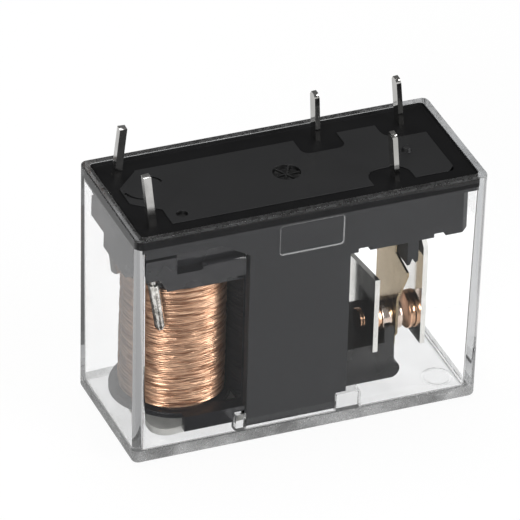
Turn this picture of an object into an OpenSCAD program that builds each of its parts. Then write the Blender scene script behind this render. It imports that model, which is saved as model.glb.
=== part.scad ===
// Sealed pcb power relay with a clear cover, standing pins up on the cover's closed end.
// Millimetres. Z is up, X runs from the coil end to the contact end, Y runs front to back.

/* [Cover] */
// Side wall thickness at the rim
wall_t = 0.6; // [0.5:0.05:0.65]
// Extra side wall thickness at the closed end
wall_grow = 0.2; // [0:0.05:0.25]
// Thickness of the closed end
end_t = 0.8; // [0.6:0.05:1]
// Lean of each outer side over the full height
draft = 0.15; // [0:0.05:0.2]
// Radius of the upright corners
corner_r = 0.55; // [0.4:0.05:0.8]
// Chamfer round the closed end
foot_c = 0.2; // [0.1:0.05:0.3]
// Width of the shallow name panel on the front wall
panel_w = 5.2; // [3:0.1:7]
// Height of the shallow name panel
panel_h = 2.55; // [1.5:0.05:3]
// Drop of the name panel below the rim
panel_drop = 1.1; // [0.8:0.1:2]
// Depth of the shallow name panel
panel_d = 0.12; // [0.05:0.01:0.2]
// Corner radius of the shallow name panel
panel_r = 0.25; // [0.1:0.05:0.6]
// Radius of the gate ring on the closed end
gate_r = 1.25; // [0.8:0.05:1.6]
// Length of the long locating lug on the closed end
lug_l = 2.05; // [1.5:0.05:2.4]
// Height of the locating lugs on the closed end
lug_h = 1.6; // [1:0.05:1.62]

/* [Terminals] */
// Coil pin row to the coil end of the cover
coil_margin = 2.15; // [2:0.05:3]
// Normally open pin to the contact end of the cover
no_margin = 3.35; // [3:0.05:4]
// Pin rows to the long sides of the cover
row_margin = 2.45; // [2.3:0.05:3]
// Distance between the two pin rows
row_pitch = 7.5; // [7:0.05:8]
// Coil row to the normally closed pin
nc_pitch = 16.5; // [15:0.1:18]
// Normally closed pin to the common pin
com_step = 3.5; // [3.2:0.05:4]
// Common pin to the normally open pin
no_step = 3.5; // [3.3:0.05:4]
// Free length of the coil pins above the rim
pin_h = 4.2; // [3:0.1:5]
// Free length of the contact pins above the rim
blade_h = 3.9; // [3:0.1:5]
// Lean of the front coil pin towards the coil end
front_lean = 7; // [-8:0.5:8]
// Lean of the back coil pin towards the coil end
back_lean = -3.5; // [-8:0.5:8]
// Lean of the back coil pin towards the front
back_nod = 5; // [-8:0.5:8]
// Lean of the normally closed pin towards the coil end
nc_lean = 3; // [-8:0.5:8]
// Lean of the common pin towards the coil end
com_lean = 5; // [-8:0.5:8]
// Lean of the normally open pin towards the coil end
no_lean = 5.5; // [-8:0.5:8]
// Side step of the normally open strip below its pin
no_jog = 0.75; // [0.6:0.05:0.9]
// Height of the cut corners at the flat pins' tips
tip_h = 0.35; // [0.2:0.05:0.5]
// Width of the contact pins
blade_w = 1.0; // [0.8:0.05:1.1]
// Thickness of the contact strips
blade_t = 0.4; // [0.35:0.01:0.45]
// Side of the square coil pins
coil_pin_s = 0.6; // [0.5:0.05:0.65]
// Lean of the coil posts below the bobbin
post_lean = 8; // [4:1:12]
// Radius of the coil posts below the bobbin
post_r = 0.3; // [0.25:0.01:0.32]
// Length of the coil posts below the bobbin
post_len = 4.7; // [3:0.1:5]
// Thickness of the soldered turns on the posts
lead_t = 0.13; // [0.1:0.01:0.22]

/* [Base] */
// Height of the base plate's edge
base_t = 1.25; // [1.1:0.05:1.4]
// Drop of the base's top below the rim
base_drop = 0.2; // [0.1:0.05:0.4]
// Depth of the sealing moat round the raised middle
moat_d = 0.5; // [0.3:0.05:0.6]
// Drop of the resin below the raised middle
resin_drop = 0.08; // [0.04:0.01:0.15]
// Thickness of the barrier walls beside the coil
barrier_t = 0.8; // [0.6:0.05:0.9]
// Height of the terminal block at the contact end
block_h = 3.85; // [3.6:0.05:4]
// Reach of the rib between the moving and the fixed leaf
rib_h = 3.2; // [2.5:0.1:3.6]
// Height of the skirt over the bobbin's head
skirt_h = 0.85; // [0.5:0.05:1]
// Thickness of the skirt over the bobbin's head
skirt_t = 0.5; // [0.4:0.05:0.6]
// Cut-off corners of the terminal block
block_c = 0.6; // [0.3:0.05:0.8]
// Radius of the ejector pip on the raised middle
pip_r = 0.42; // [0.3:0.02:0.6]
// Height of the ejector pip
pip_h = 0.35; // [0.1:0.05:0.5]

/* [Coil] */
// Outer radius of the winding
wind_r = 3.85; // [3.4:0.05:4]
// Length of the winding
wind_len = 10.95; // [10:0.05:12]
// Height of the pole face above the closed end's inner face
pole_gap = 1.4; // [1.35:0.05:1.6]
// Radius of the core's shaft
core_r = 1.5; // [1.2:0.05:1.6]
// Radius of the pole disc
pole_r = 2.6; // [2.2:0.05:2.8]
// Wall of the bobbin's tube
tube_t = 0.6; // [0.5:0.05:0.8]
// Height of the pole disc
pole_t = 0.5; // [0.4:0.05:0.55]
// Height of the lower flange above the pole face
flange_lift = 0.3; // [0.2:0.05:0.35]
// Thickness of the bobbin's lower flange
flange_t = 0.45; // [0.4:0.05:0.6]
// Thickness of the bobbin's upper flange
top_flange_t = 0.7; // [0.6:0.05:0.8]
// Drop of the lugs below the lower flange
flange_drop = 0.87; // [0.6:0.01:0.95]
// Reach of the lower flange beyond the winding
flange_lip = 0.6; // [0.4:0.05:0.65]
// Height of the bobbin's terminal head
head_h = 4.33; // [4.2:0.05:5]
// Depth of the head's front and back walls
head_d = 1.9; // [1.7:0.05:2]
// Height of the bays round the coil posts
bay_h = 1.45; // [1.2:0.05:1.6]
// Depth of the pockets in the head's long sides
pocket_d = 0.9; // [0.7:0.05:1]
// Thickness of the bobbin's wall beside the coil
side_t = 0.93; // [0.8:0.01:1]

/* [Magnet frame] */
// Thickness of the yoke
yoke_t = 1.2; // [1:0.05:1.3]
// Reach of the yoke beyond the coil axis
yoke_reach = 2.6; // [2.2:0.1:2.8]
// Thickness of the armature
plate_t = 0.6; // [0.5:0.05:0.65]
// Reach of the armature beyond the coil axis
plate_reach = 3.2; // [2.6:0.1:3.4]
// Radius of the armature's free corners
plate_r = 1.5; // [1:0.1:2]
// Tilt of the armature away from the pole at rest
rest_tilt = 4; // [3.8:0.1:4.1]
// Turn of the armature when the coil is on
pull_turn = 3.6; // [3.2:0.1:3.6]
// Height of the armature's arm above the pole face
arm_h = 8; // [7.2:0.1:8.4]
// Thickness of the hinge spring
hinge_t = 0.15; // [0.1:0.01:0.2]
// Height of the hinge spring's root on the yoke
hinge_root = 2.7; // [2:0.1:3]
// Length of the hinge spring's legs
hinge_leg = 4.6; // [3:0.1:5]

/* [Contacts] */
// Height of the contacts above the card's bar
contact_up = 1.55; // [1.5:0.05:1.8]
// Radius of the moving and the normally closed contact heads
contact_r = 1.35; // [1.1:0.05:1.4]
// Radius of the normally open contact's head
no_r = 1.5; // [1.2:0.05:1.6]
// Radius of the contact shanks
shank_r = 0.7; // [0.5:0.05:0.8]
// Thickness of the moving leaf
leaf_t = 0.2; // [0.15:0.01:0.22]
// Height of the moving contact's left head
head_left = 0.95; // [0.8:0.05:1]
// Height of the moving contact's right head
head_right = 0.6; // [0.5:0.05:0.65]
// Height of the normally closed contact's head
head_nc = 1; // [0.8:0.05:1.05]
// Gap between the moving and the open contact at rest
open_gap = 0.5; // [0.49:0.01:0.6]
// Radius of the rivets at the leaf's root
rivet_r = 0.4; // [0.3:0.01:0.42]
// Lip of the riveted tails behind the fixed strips
tail_lip = 0.12; // [0.1:0.01:0.3]
// Height of the riveted tails behind the fixed strips
tail_h = 0.2; // [0.15:0.01:0.35]

/* [Card] */
// Height of the card's underside above the closed end
card_lift = 0.7; // [0.5:0.05:0.9]
// Height of the card's bar
card_h = 3.4; // [3:0.05:3.6]
// Width of the card across the relay
card_w = 6.2; // [3.2:0.1:6.4]
// Reach of the card in front of the contacts
card_front = 1.7; // [1.5:0.05:1.8]
// Radius of the card's rounded foot
foot_r = 0.75; // [0.5:0.05:0.9]

/* [Hidden] */
$fn = 48;
fit = 0.03;
seat = 0.02;
touch = 0.05;
body_gap = 0.15;
eps = 0.05;
cover_l = coil_margin + nc_pitch + com_step + no_step + no_margin;
cover_w = row_pitch + 2 * row_margin;
half_l = cover_l / 2;
half_w = cover_w / 2;
row_y = row_pitch / 2;
coil_row_x = -half_l + coil_margin;
nc_x = coil_row_x + nc_pitch;
com_x = nc_x + com_step;
no_x = com_x + no_step;
coil_x = coil_row_x + wind_r - 0.4;
floor_z = end_t;
pole_z = floor_z + pole_gap;
flange_z0 = pole_z + flange_lift;
wind_z0 = flange_z0 + flange_t;
wind_top = wind_z0 + wind_len;
flange_z1 = wind_top + top_flange_t;
head_top = flange_z1 + head_h;
base_bot = head_top + seat;
base_top = base_bot + base_t;
moat_z = base_top - moat_d;
cover_h = base_top + base_drop;
pin_top = cover_h + pin_h;
blade_top = cover_h + blade_h;
bend_z = base_top - resin_drop + touch;
slope = (draft + wall_grow) / cover_h;
function in_l(z) = half_l - wall_t - slope * (cover_h - z);
function in_w(z) = half_w - wall_t - slope * (cover_h - z);
base_hl = in_l(base_bot) - 2 * fit;
base_hw = in_w(base_bot) - 2 * fit;
body_hl = in_l(floor_z) - body_gap;
body_hw = in_w(floor_z) - body_gap;
flange_r = wind_r + flange_lip;
barrier_x0 = coil_x + wind_r + 0.2;
barrier_x1 = nc_x - 0.65;
barrier_z0 = floor_z + 2 * body_gap;
block_z = base_bot - block_h;
rib_z = block_z - rib_h;
notch_x = barrier_x1 - 0.9;
notch_z = floor_z + lug_h + 2 * touch;
side_x0 = barrier_x0 - 2 * touch;
head_x1 = coil_x - yoke_reach + 0.65;
head_low = flange_z1 + bay_h;
wall_z = flange_z1 + 0.3;
wall_x1 = side_x0 - 2 * touch;
pocket_z = wall_z + 1.4;
lip_x0 = coil_x + 0.3;
lug_x1 = coil_x + 3.1;
skirt_z = head_top - skirt_h;
post_z = head_low - 0.4;
side_x1 = side_x0 + side_t;
yoke_x0 = side_x1 + seat;
yoke_x1 = yoke_x0 + yoke_t;
yoke_top = flange_z1 + seat + yoke_t;
plate_w = 2 * (body_hw - barrier_t - 2 * touch);
yoke_w = plate_w - 2 * barrier_t;
arm_w = yoke_w - 8 * touch;
hinge_x = yoke_x1;
hinge_z = pole_z;
arm_top = pole_z + arm_h;
arm_x0 = hinge_x + body_gap;
arm_x1 = arm_x0 + plate_t;
card_x0 = arm_x1 + touch;
card_travel = arm_h * sin(pull_turn);
card_z0 = floor_z + card_lift;
card_z1 = card_z0 + card_h;
contact_y = -0.4 * row_y;
contact_z = card_z1 + contact_up;
card_y0 = contact_y - card_front;
card_y1 = card_y0 + card_w;
leaf_x0 = com_x + blade_t / 2 + 0.55;
leaf_x1 = leaf_x0 + leaf_t;
leaf_z0 = card_z1 - 0.7;
root_z = base_bot - 1.65;
nc_face = leaf_x0 - head_left - touch - head_nc;
nc_y1 = row_y + blade_w / 2;
nc_low = contact_z - contact_r - 2 * touch;
flag_top = block_z - 3.5;
no_face = no_x - blade_t / 2 - no_jog;
no_y0 = contact_y - 2.3;
no_y1 = no_y0 + 1.4;
rib_x0 = leaf_x1 + 0.35;
head_no = no_face - leaf_x1 - head_right - open_gap;
leaf_y0 = contact_y - contact_r - 0.25;
leaf_y1 = contact_y + contact_r + 1.15;

cover();
base();
sealing_resin();
bobbin();
coil_winding();
core();
yoke();
armature();
hinge_spring();
card();
coil_pin_front();
coil_pin_back();
coil_lead_front();
coil_lead_back();
nc_terminal();
nc_contact();
com_terminal();
com_spring();
com_contact();
leaf_rivet_front();
leaf_rivet_back();
no_terminal();
no_contact();

// Box between two corners
module span(a, b) {
  translate(a)
    cube([b[0] - a[0], b[1] - a[1], b[2] - a[2]]);
}

// Thin rounded plate used as a hull section
module slice(l, w, r, z) {
  translate([0, 0, z])
    linear_extrude(height = 0.01) {
      square([l - 2 * r, w], center = true);
      square([l, w - 2 * r], center = true);
      for (i = [-1, 1])
        for (j = [-1, 1])
          translate([i * (l / 2 - r), j * (w / 2 - r)])
            circle(r = r, $fn = 24);
    }
}

// Plate in the YZ plane from x, drawn as [y, z] points
module yz_plate(x, t, points) {
  translate([x, 0, 0])
    rotate([90, 0, 90])
      linear_extrude(height = t)
        polygon(points);
}

// Plate in the XZ plane from y, drawn as [x, z] points
module xz_plate(y, t, points) {
  translate([0, y + t, 0])
    rotate([90, 0, 0])
      linear_extrude(height = t)
        polygon(points);
}

// Cylinder along X between two stations
module along_x(x0, x1, r, y, z) {
  translate([x0, y, z])
    rotate([0, 90, 0])
      cylinder(r = r, h = x1 - x0);
}

// Clear moulded box, open at the top
module cover() {
  color([0.9, 0.92, 0.93, 0.35])
    difference() {
      hull() {
        slice(cover_l - 2 * draft - 2 * foot_c, cover_w - 2 * draft - 2 * foot_c, corner_r, 0);
        slice(cover_l - 2 * draft, cover_w - 2 * draft, corner_r, foot_c);
        slice(cover_l, cover_w, corner_r, cover_h - 0.01);
      }
      difference() {
        hull() {
          slice(2 * in_l(floor_z), 2 * in_w(floor_z), 0.3, floor_z);
          slice(2 * in_l(cover_h + 1), 2 * in_w(cover_h + 1), 0.3, cover_h + 1);
        }
        locating_lugs();
      }
      name_panel();
      gate_ring();
    }
}

// Shallow bare panel cut into the front wall near the rim
module name_panel() {
  r = panel_r;
  z0 = cover_h - panel_drop - panel_h;
  y = -half_w + draft * (panel_drop + panel_h) / cover_h;
  translate([-0.1, y + panel_d, z0 + panel_h / 2])
    rotate([90, 0, 0]) {
      translate([-panel_w / 2 + r, -panel_h / 2, 0])
        cube([panel_w - 2 * r, panel_h, 1]);
      translate([-panel_w / 2, -panel_h / 2 + r, 0])
        cube([panel_w, panel_h - 2 * r, 1]);
      for (i = [-1, 1])
        for (j = [-1, 1])
          translate([i * (panel_w / 2 - r), j * (panel_h / 2 - r), 0])
            cylinder(r = r, h = 1);
    }
}

// Clear lugs on the closed end at both sides of the barrier's front foot
module locating_lugs() {
  y0 = -half_w;
  y1 = -body_hw + barrier_t;
  z1 = floor_z + lug_h;
  span([notch_x + touch, y0, 0], [notch_x + touch + lug_l, y1, z1]);
  span([lug_x1 + touch, y0, 0], [barrier_x0 - touch, y1, z1]);
}

// Ring left by the moulding gate on the closed end
module gate_ring() {
  translate([half_l - 2.3, -half_w + 3.3, -1])
    difference() {
      cylinder(r = gate_r, h = 1.1);
      cylinder(r = gate_r - 0.25, h = 1.1);
    }
}

// Raised middle of the base, with bays kept clear round the pins
module plateau(grow, z0, z1) {
  translate([0, 0, z0])
    linear_extrude(height = z1 - z0)
      difference() {
        union() {
          plateau_plan(grow);
          lobe_plan(grow);
        }
        bay_plan(nc_x - 1.85, nc_x + 1.75, row_y - 2.05, half_w, 0.7, grow);
        bay_plan(no_x - 2, half_l + 2, row_y - 2.1, half_w + 2, 1.3, grow);
        bay_plan(com_x - 1.95, com_x + 1.5, -half_w, -row_y + 1.6, 1.3, grow);
      }
}

// Outline of the raised middle without its bays
module plateau_plan(grow) {
  x0 = coil_row_x + 1.5 - grow;
  x1 = no_x + 1.4 + grow;
  y0 = -row_y - 0.5 - grow;
  y1 = row_y + 0.1 + grow;
  r = 0.6;
  polygon([[x0, y0], [x1 - r, y0], [x1, y0 + r], [x1, y1], [x0, y1]]);
}

// Lobe of the raised middle between the two coil pins
module lobe_plan(grow) {
  x0 = coil_row_x - 0.55 - grow;
  x1 = coil_row_x + 1.6;
  polygon([[x0, -0.5 - grow], [x1, -2.2 - grow], [x1, row_y + 0.1 + grow], [x0, 1.7 + grow]]);
}

// Outline of a bay with round corners
module bay_plan(x0, x1, y0, y1, r, grow) {
  translate([x0 + r, y0 + grow])
    square([x1 - x0 - 2 * r, y1 - y0 - 2 * grow]);
  translate([x0 + grow, y0 + r])
    square([x1 - x0 - 2 * grow, y1 - y0 - 2 * r]);
  for (x = [x0 + r, x1 - r])
    for (y = [y0 + r, y1 - r])
      translate([x, y])
        circle(r = r - grow);
}

// Black base with the barrier box, the terminal block and the rib
module base() {
  color([0.07, 0.07, 0.075])
    difference() {
      union() {
        span([-base_hl, -base_hw, base_bot], [base_hl, base_hw, moat_z]);
        plateau(0, moat_z - eps, base_top);
        barrier_box();
        base_skirt(-body_hw, barrier_x0 + eps);
        base_skirt(body_hw - skirt_t, barrier_x0 + 1.2 + eps);
        terminal_block();
        leaf_rib();
        base_pip();
      }
      base_marks();
      pin_slots(fit, base_bot - 1.3, pin_top);
      nc_slot();
      com_pocket();
      no_slot();
    }
}

// Front, back and right walls round the yoke and the card
module barrier_box() {
  span([barrier_x0, -body_hw, barrier_z0], [notch_x, -body_hw + barrier_t, base_bot + eps]);
  span([notch_x - eps, -body_hw, notch_z], [barrier_x1, -body_hw + barrier_t, base_bot + eps]);
  span([barrier_x0 + 1.2, body_hw - barrier_t, barrier_z0], [barrier_x1, body_hw, base_bot + eps]);
  span([barrier_x1 - barrier_t, -body_hw, card_z1 + 0.5], [barrier_x1, body_hw, base_bot + eps]);
}

// Skirt over one long side of the bobbin's head, with a gusset to the barrier
module base_skirt(y, x1) {
  xz_plate(y, skirt_t, [[-body_hl, base_bot + eps], [-body_hl, skirt_z], [x1 - 2.4, skirt_z],
           [x1, skirt_z - 1.4], [x1, base_bot + eps]]);
}

// Solid block that holds the contact strips, with cut corners and two notches
module terminal_block() {
  x0 = barrier_x1 - eps;
  x1 = body_hl;
  y1 = body_hw;
  c = block_c;
  difference() {
    translate([0, 0, block_z])
      linear_extrude(height = base_bot + eps - block_z)
        polygon([[x0, -y1], [x1 - c, -y1], [x1, -y1 + c], [x1, y1 - c], [x1 - c, y1], [x0, y1]]);
    block_notch(nc_x);
    block_notch(no_x - 0.7);
  }
}

// Notch in the lower front edge of the terminal block
module block_notch(x) {
  span([x, -half_w, block_z - 1], [x + 0.95, -body_hw + barrier_t, block_z + 0.33]);
}

// Insulating rib between the moving leaf and the open contact's leaf
module leaf_rib() {
  x0 = rib_x0;
  x1 = no_face - 0.3;
  xm = (x0 + x1) / 2;
  xz_plate(-row_y + 0.2, row_pitch - 0.4, [[x0, block_z + eps], [x0, rib_z], [x0 + 0.25, rib_z],
           [xm, rib_z + 0.6], [x1 - 0.25, rib_z + 0.1], [x1, rib_z + 0.3], [x1, block_z + eps]]);
}

// Ejector pip on the raised middle
module base_pip() {
  translate([no_x - 1.15, -0.45, base_top - eps])
    cylinder(r1 = pip_r, r2 = 0.75 * pip_r, h = pip_h + eps);
}

// Two arcs of a ring, a round pit and a ribbed recess in the raised middle
module base_marks() {
  translate([coil_row_x + 1.27, 1.35, base_top - 0.15])
    intersection() {
      difference() {
        cylinder(r = 1.78, h = 1);
        cylinder(r = 1.54, h = 3, center = true);
      }
      rotate([0, 0, 41])
        cube([5, 1.6, 3], center = true);
    }
  translate([coil_row_x + 2.7, -row_y + 0.6, base_top - 0.3])
    cylinder(r = 0.45, h = 1);
  translate([0.1, -0.25, base_top - 0.3])
    difference() {
      cylinder(r = 1.1, h = 1);
      for (i = [0 : 2])
        rotate([0, 0, i * 60])
          translate([-1.2, -0.1, -eps])
            cube([2.4, 0.2, 0.2]);
    }
}

// Through slots for the five pins
module pin_slots(g, z0, z1) {
  for (j = [-1, 1])
    span([coil_row_x - coil_pin_s / 2 - g, j * row_y - coil_pin_s / 2 - g, z0],
         [coil_row_x + coil_pin_s / 2 + g, j * row_y + coil_pin_s / 2 + g, z1]);
  blade_slot(nc_x, row_y, g, z0, z1);
  blade_slot(com_x, -row_y, g, z0, z1);
  blade_slot(no_x, row_y, g, z0, z1);
}

// One slot for a flat pin
module blade_slot(x, y, g, z0, z1) {
  span([x - blade_t / 2 - g, y - blade_w / 2 - g, z0], [x + blade_t / 2 + g, y + blade_w / 2 + g, z1]);
}

// Room for the normally closed strip and its jog
module nc_slot() {
  z = base_bot - 1.2;
  span([nc_x - blade_t / 2 - fit, row_y - blade_w / 2 - fit, z - blade_t - fit], [nc_face + fit, nc_y1 + fit, z + fit]);
  span([nc_face - blade_t - fit, nc_y1 - 3 - fit, block_z - 1], [nc_face + fit, nc_y1 + fit, z + fit]);
}

// Room for the common strip, the leaf's root and its rivets
module com_pocket() {
  span([com_x - blade_t / 2 - fit, -row_y - blade_w / 2 - fit, block_z - 1], [rib_x0, leaf_y1 + 0.2, root_z + 0.8]);
}

// Room for the normally open strip and its side step
module no_slot() {
  z = base_bot - 0.5;
  y0 = row_y - blade_w / 2 - fit;
  span([no_face - fit, no_y1 - fit, block_z - 1], [no_face + blade_t + fit, nc_y1 + fit, z + fit]);
  span([no_face - fit, y0, z - blade_t - fit], [no_x + blade_t / 2 + fit, nc_y1 + fit, z + fit]);
}

// Cast resin that fills the moat up to the cover
module sealing_resin() {
  color([0.04, 0.04, 0.045])
    difference() {
      span([-in_l(moat_z) + seat, -in_w(moat_z) + seat, moat_z + seat / 2],
           [in_l(moat_z) - seat, in_w(moat_z) - seat, base_top - resin_drop]);
      plateau(seat, moat_z - 1, pin_top);
      pin_slots(seat, base_bot - 1, pin_top);
      resin_corners();
    }
}

// Corner relief that lets the resin follow the cover's inner corners
module resin_corners() {
  for (i = [-1, 1])
    for (j = [-1, 1])
      translate([i * in_l(moat_z), j * in_w(moat_z), base_bot])
        rotate([0, 0, 45])
          cube([0.4, 0.4, 6], center = true);
}

// One-piece bobbin: tube, two flanges, side wall and terminal head
module bobbin() {
  color([0.085, 0.085, 0.09])
    difference() {
      union() {
        translate([coil_x, 0, flange_z0])
          cylinder(r = core_r + seat + tube_t, h = flange_z1 - flange_z0);
        lower_flange();
        upper_flange();
        span([side_x0, -plate_w / 2 + touch, flange_z0], [side_x1, plate_w / 2 - touch, flange_z1]);
        terminal_head();
      }
      translate([coil_x, 0, flange_z0 - 1])
        cylinder(r = core_r + seat, h = flange_z1 + 2);
      translate([coil_x, 0, flange_z0 - 1])
        cylinder(r = pole_r + seat, h = pole_z + pole_t + seat - flange_z0 + 1);
      span([coil_x - yoke_reach - touch, -yoke_w / 2 - seat, flange_z1], [side_x1 + 1, yoke_w / 2 + seat, head_top + 1]);
      head_slots();
    }
}

// Lower flange, straight along the long sides, with a lug at the front and the back
module lower_flange() {
  intersection() {
    translate([coil_x, 0, flange_z0])
      cylinder(r = flange_r, h = flange_t);
    span([-body_hl, -body_hw, 0], [side_x1, body_hw, wind_top]);
  }
  flange_side();
  mirror([0, 1, 0])
    flange_side();
}

// Plate along a long side of the lower flange and the lug below it
module flange_side() {
  x0 = coil_x - 1;
  y1 = body_hw - body_gap;
  z1 = flange_z0 + flange_t;
  span([x0, plate_w / 2 - 0.5, flange_z0], [side_x0 + seat, y1, z1]);
  span([x0, plate_w / 2 + body_gap, flange_z0 - flange_drop], [lug_x1, y1, z1]);
}

// Upper flange, round towards the coil end
module upper_flange() {
  translate([coil_x, 0, wind_top])
    cylinder(r = wind_r, h = top_flange_t);
  span([coil_x, -wind_r, wind_top], [side_x0 + seat, wind_r, flange_z1]);
}

// Stepped head that carries the coil pins
module terminal_head() {
  w = row_y - 1.4;
  span([-body_hl, -body_hw, head_low], [head_x1, body_hw, head_top]);
  span([-body_hl, -w, flange_z1 + 0.2], [head_x1, w, head_top]);
  span([coil_x - wind_r + 0.6, -w, flange_z1 - eps], [head_x1, w, head_top]);
  head_wall();
  mirror([0, 1, 0])
    head_wall();
}

// Long wall of the head: low band, rounded lip, pocket and the web down to the flange
module head_wall() {
  y0 = body_hw - head_d;
  difference() {
    xz_plate(y0, head_d, [[coil_row_x + 0.1, head_low + eps], [coil_row_x + 0.75, wall_z], [wall_x1, wall_z],
             [wall_x1, pocket_z], [head_x1 - eps, pocket_z], [head_x1 - eps, head_low + eps]]);
    span([lip_x0, body_hw - 0.3, wall_z - 1], [wall_x1 + 1, body_hw + 1, pocket_z + 1]);
  }
  along_x(lip_x0, wall_x1, 0.3, body_hw - 0.6, pocket_z);
  span([head_x1 - eps, y0, pocket_z - eps], [wall_x1, body_hw - pocket_d, head_top - 0.3]);
  span([coil_x - 1.5, y0, flange_z1 - eps], [wall_x1, wind_r, wall_z + eps]);
}

// Slots for the coil pins, and room for the base's skirts
module head_slots() {
  for (j = [-1, 1])
    span([coil_row_x - coil_pin_s / 2 - fit, j * row_y - coil_pin_s / 2 - fit, wind_top - 1],
         [coil_row_x + coil_pin_s / 2 + fit, j * row_y + coil_pin_s / 2 + fit, head_top + 1]);
  for (j = [0, 1])
    mirror([0, j, 0])
      span([-half_l, body_hw - skirt_t - touch, skirt_z - 0.25], [wall_x1, half_w, head_top + 1]);
}

// Copper winding as one sleeve between the flanges
module coil_winding() {
  color([0.72, 0.4, 0.22])
    translate([coil_x, 0, wind_z0 + seat])
      difference() {
        cylinder(r = wind_r, h = wind_top - wind_z0 - 2 * seat);
        translate([0, 0, -1])
          cylinder(r = core_r + tube_t + 2 * seat, h = wind_top);
      }
}

// Iron core with the pole disc below and the riveted neck above
module core() {
  color([0.62, 0.62, 0.63])
    translate([coil_x, 0, 0]) {
      translate([0, 0, pole_z])
        cylinder(r = pole_r, h = pole_t);
      translate([0, 0, pole_z])
        cylinder(r = core_r, h = flange_z1 - pole_z);
      translate([0, 0, pole_z])
        cylinder(r = core_r - 0.4, h = yoke_top + seat - pole_z);
      translate([0, 0, yoke_top + seat])
        cylinder(r = core_r, h = 0.35);
    }
}

// Bent iron yoke from the core's neck down to the hinge edge
module yoke() {
  color([0.66, 0.66, 0.68])
    difference() {
      union() {
        span([coil_x - yoke_reach, -yoke_w / 2, flange_z1 + seat], [yoke_x1, yoke_w / 2, yoke_top]);
        span([yoke_x0, -yoke_w / 2, pole_z + seat], [yoke_x1, yoke_w / 2, yoke_top]);
      }
      translate([coil_x, 0, 0])
        cylinder(r = core_r - 0.4 + seat, h = cover_h);
    }
}

// Clapper plate under the pole with the upright arm beyond the yoke
module armature() {
  color([0.75, 0.75, 0.77]) {
    translate([hinge_x, 0, hinge_z])
      rotate([0, -rest_tilt, 0])
        clapper();
    span([arm_x0, -arm_w / 2, hinge_z - plate_t], [arm_x1, arm_w / 2, arm_top]);
  }
}

// Flat part of the armature with rounded free corners
module clapper() {
  l = hinge_x - coil_x + plate_reach;
  r = plate_r;
  w = plate_w;
  z = -plate_t - seat;
  span([-l + r, -w / 2, z], [-1.4, w / 2, z + plate_t]);
  span([-l, -w / 2 + r, z], [-1.4, w / 2 - r, z + plate_t]);
  span([-2, -arm_w / 2, z], [0.5, arm_w / 2, z + plate_t]);
  for (j = [-1, 1])
    translate([-l + r, j * (w / 2 - r), z])
      cylinder(r = r, h = plate_t);
}

// Thin leaf on the yoke that keeps the armature on its edge
module hinge_spring() {
  x0 = yoke_x1 + seat;
  x1 = arm_x1 + card_travel + 0.45;
  z1 = arm_top + 4 * body_gap;
  w = arm_w / 2 - 4 * touch;
  color([0.7, 0.69, 0.66]) {
    span([x0, -w + 1, z1], [x0 + hinge_t, w - 1, z1 + hinge_root]);
    span([x0, -w, z1], [x1, w, z1 + hinge_t]);
    for (j = [-1, 1])
      span([x1 - hinge_t, j * (w - 0.3) - 0.3, z1 - hinge_leg], [x1, j * (w - 0.3) + 0.3, z1 + hinge_t]);
  }
}

// Sliding card between the armature's arm and the moving leaf
module card() {
  x1 = leaf_x0 - touch;
  w = arm_w / 2 - 1;
  color([0.06, 0.06, 0.065]) {
    span([card_x0, -w, card_z0 + 1], [card_x0 + 1, w, arm_top + 2 * touch]);
    span([card_x0, card_y0, card_z0], [x1, card_y1, card_z1]);
    span([leaf_x0 - head_left, card_y0, card_z0], [x1, contact_y - contact_r - 2 * touch, contact_z - 4 * touch]);
    card_foot(x1);
  }
}

// Rounded foot that reaches below the moving leaf
module card_foot(x1) {
  translate([x1 - foot_r + 0.5, card_y0, card_z0 + foot_r])
    rotate([-90, 0, 0])
      cylinder(r = foot_r, h = card_w);
}

// Free end of a pin, leaning from the resin's surface
module leaning(x, y, lean, nod) {
  translate([x, y, bend_z])
    rotate([nod, -lean, 0])
      translate([-x, -y, -bend_z])
        children();
}

// Coil pin with the post below the head
module coil_pin(side, lean, nod) {
  x = coil_row_x;
  y = side * row_y;
  s = coil_pin_s / 2;
  span([x - s, y - s, post_z - 0.1], [x + s, y + s, bend_z + eps]);
  leaning(x, y, lean, nod)
    span([x - s, y - s, bend_z - eps], [x + s, y + s, pin_top]);
  coil_post(side, post_r, post_len, 0);
}

// Leaning post from the pin's lower end
module coil_post(side, r, len, start) {
  translate([coil_row_x, side * row_y, post_z])
    rotate([-side * 4, 180 - post_lean, 0])
      translate([0, 0, start])
        cylinder(r = r, h = len);
}

// Front coil pin
module coil_pin_front() {
  color([0.8, 0.8, 0.8])
    coil_pin(-1, front_lean, 0);
}

// Back coil pin
module coil_pin_back() {
  color([0.8, 0.8, 0.8])
    coil_pin(1, back_lean, back_nod);
}

// Soldered turns of the winding's end round a post
module coil_lead(side) {
  difference() {
    coil_post(side, post_r + lead_t, post_len - 0.9, 0.7);
    coil_post(side, post_r + seat, post_len + 1, 0);
  }
}

// Soldered lead on the front post
module coil_lead_front() {
  color([0.78, 0.74, 0.68])
    coil_lead(-1);
}

// Soldered lead on the back post
module coil_lead_back() {
  color([0.78, 0.74, 0.68])
    coil_lead(1);
}

// Flat pin with its corners cut off at the tip
module blade(x, y, z0, lean) {
  w = blade_w / 2;
  z1 = blade_top;
  x0 = x - blade_t / 2;
  yz_plate(x0, blade_t, [[y - w, z0], [y + w, z0], [y + w, bend_z + eps], [y - w, bend_z + eps]]);
  leaning(x, y, lean, 0)
    yz_plate(x0, blade_t, [[y - w, bend_z - eps], [y + w, bend_z - eps], [y + w, z1 - tip_h], [y + w * 0.5, z1],
             [y - w * 0.5, z1], [y - w, z1 - tip_h]]);
}

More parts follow.
